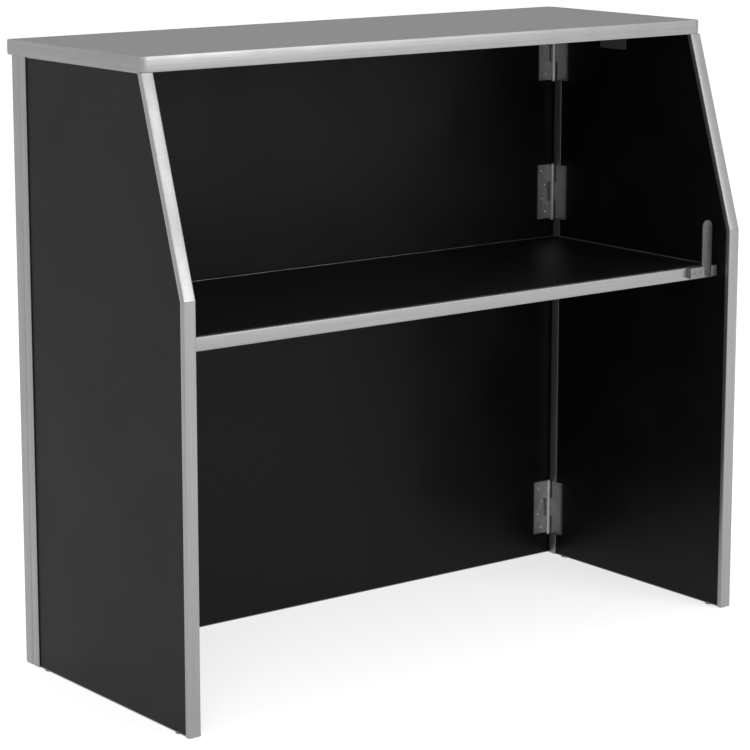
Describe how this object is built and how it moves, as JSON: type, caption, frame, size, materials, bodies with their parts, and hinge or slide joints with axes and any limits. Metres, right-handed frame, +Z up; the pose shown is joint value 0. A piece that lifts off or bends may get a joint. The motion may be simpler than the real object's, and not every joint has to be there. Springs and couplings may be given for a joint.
{
  "type": "folding portable bar",
  "caption": "Folding portable bar: black front and side panels edged in aluminium, hinged shelf with a drop bolt, and a lift-off grey top.",
  "frame": {"origin": "on the floor, below the middle of the whole bar's box", "axes": "+Z up, +X to the right seen from the open serving side, +Y towards the guests"},
  "size_m": [1.222, 0.5336, 1.092],
  "materials": {
    "black_laminate": "satin laminate",
    "grey_laminate": "satin laminate",
    "aluminium_trim": "satin anodised",
    "steel_hardware": "zinc plated",
    "glide_plastic": "moulded"
  },
  "bodies": {
    "frame": {"front_board": "black_laminate", "front_bottom_band": "aluminium_trim", "front_top_band": "aluminium_trim", "front_left_trim": "aluminium_trim", "front_right_trim": "aluminium_trim", "left_board": "black_laminate", "left_bottom_band": "aluminium_trim", "left_top_band": "aluminium_trim", "left_rear_trim": "aluminium_trim", "left_slope_trim": "aluminium_trim", "left_front_trim": "aluminium_trim", "left_front_glide": "glide_plastic", "left_rear_glide": "glide_plastic", "left_ledge": "aluminium_trim", "right_board": "black_laminate", "right_bottom_band": "aluminium_trim", "right_top_band": "aluminium_trim", "right_rear_trim": "aluminium_trim", "right_slope_trim": "aluminium_trim", "right_front_trim": "aluminium_trim", "right_front_glide": "glide_plastic", "right_rear_glide": "glide_plastic", "right_ledge": "aluminium_trim", "left_hinge_1_front_leaf": "steel_hardware", "left_hinge_1_side_leaf": "steel_hardware", "left_hinge_1_pin": "steel_hardware", "left_hinge_2_front_leaf": "steel_hardware", "left_hinge_2_side_leaf": "steel_hardware", "left_hinge_2_pin": "steel_hardware", "left_hinge_3_front_leaf": "steel_hardware", "left_hinge_3_side_leaf": "steel_hardware", "left_hinge_3_pin": "steel_hardware", "right_hinge_1_front_leaf": "steel_hardware", "right_hinge_1_side_leaf": "steel_hardware", "right_hinge_1_pin": "steel_hardware", "right_hinge_2_front_leaf": "steel_hardware", "right_hinge_2_side_leaf": "steel_hardware", "right_hinge_2_pin": "steel_hardware", "right_hinge_3_front_leaf": "steel_hardware", "right_hinge_3_side_leaf": "steel_hardware", "right_hinge_3_pin": "steel_hardware", "shelf_left_hinge_panel_leaf": "steel_hardware", "shelf_left_hinge_pin": "steel_hardware", "shelf_right_hinge_panel_leaf": "steel_hardware", "shelf_right_hinge_pin": "steel_hardware"},
    "shelf": {"shelf_board": "black_laminate", "shelf_front_trim": "aluminium_trim", "shelf_left_trim": "aluminium_trim", "shelf_right_trim": "aluminium_trim", "shelf_left_hinge_shelf_leaf": "steel_hardware", "shelf_right_hinge_shelf_leaf": "steel_hardware", "bolt_guide": "steel_hardware"},
    "bolt": {"shelf_bolt": "steel_hardware"},
    "top": {"top_board": "grey_laminate", "top_rear_band": "aluminium_trim", "top_front_band": "aluminium_trim", "top_left_band": "aluminium_trim", "top_right_band": "aluminium_trim", "top_left_locator": "steel_hardware", "top_right_locator": "steel_hardware"}
  },
  "joints": [
    {"name": "shelf_fold", "type": "hinge", "parent": "frame", "child": "shelf", "pos_m": [0, 0.2202, 0.643], "axis": [-1, 0, 0], "range_deg": [0, 45]},
    {"name": "bolt_lift", "type": "slide", "parent": "shelf", "child": "bolt", "axis": [0, 0, 1], "range_m": [0, 0.01]},
    {"name": "top_lift", "type": "slide", "parent": "frame", "child": "top", "axis": [0, 0, 1], "range_m": [0, 0.15]}
  ]
}
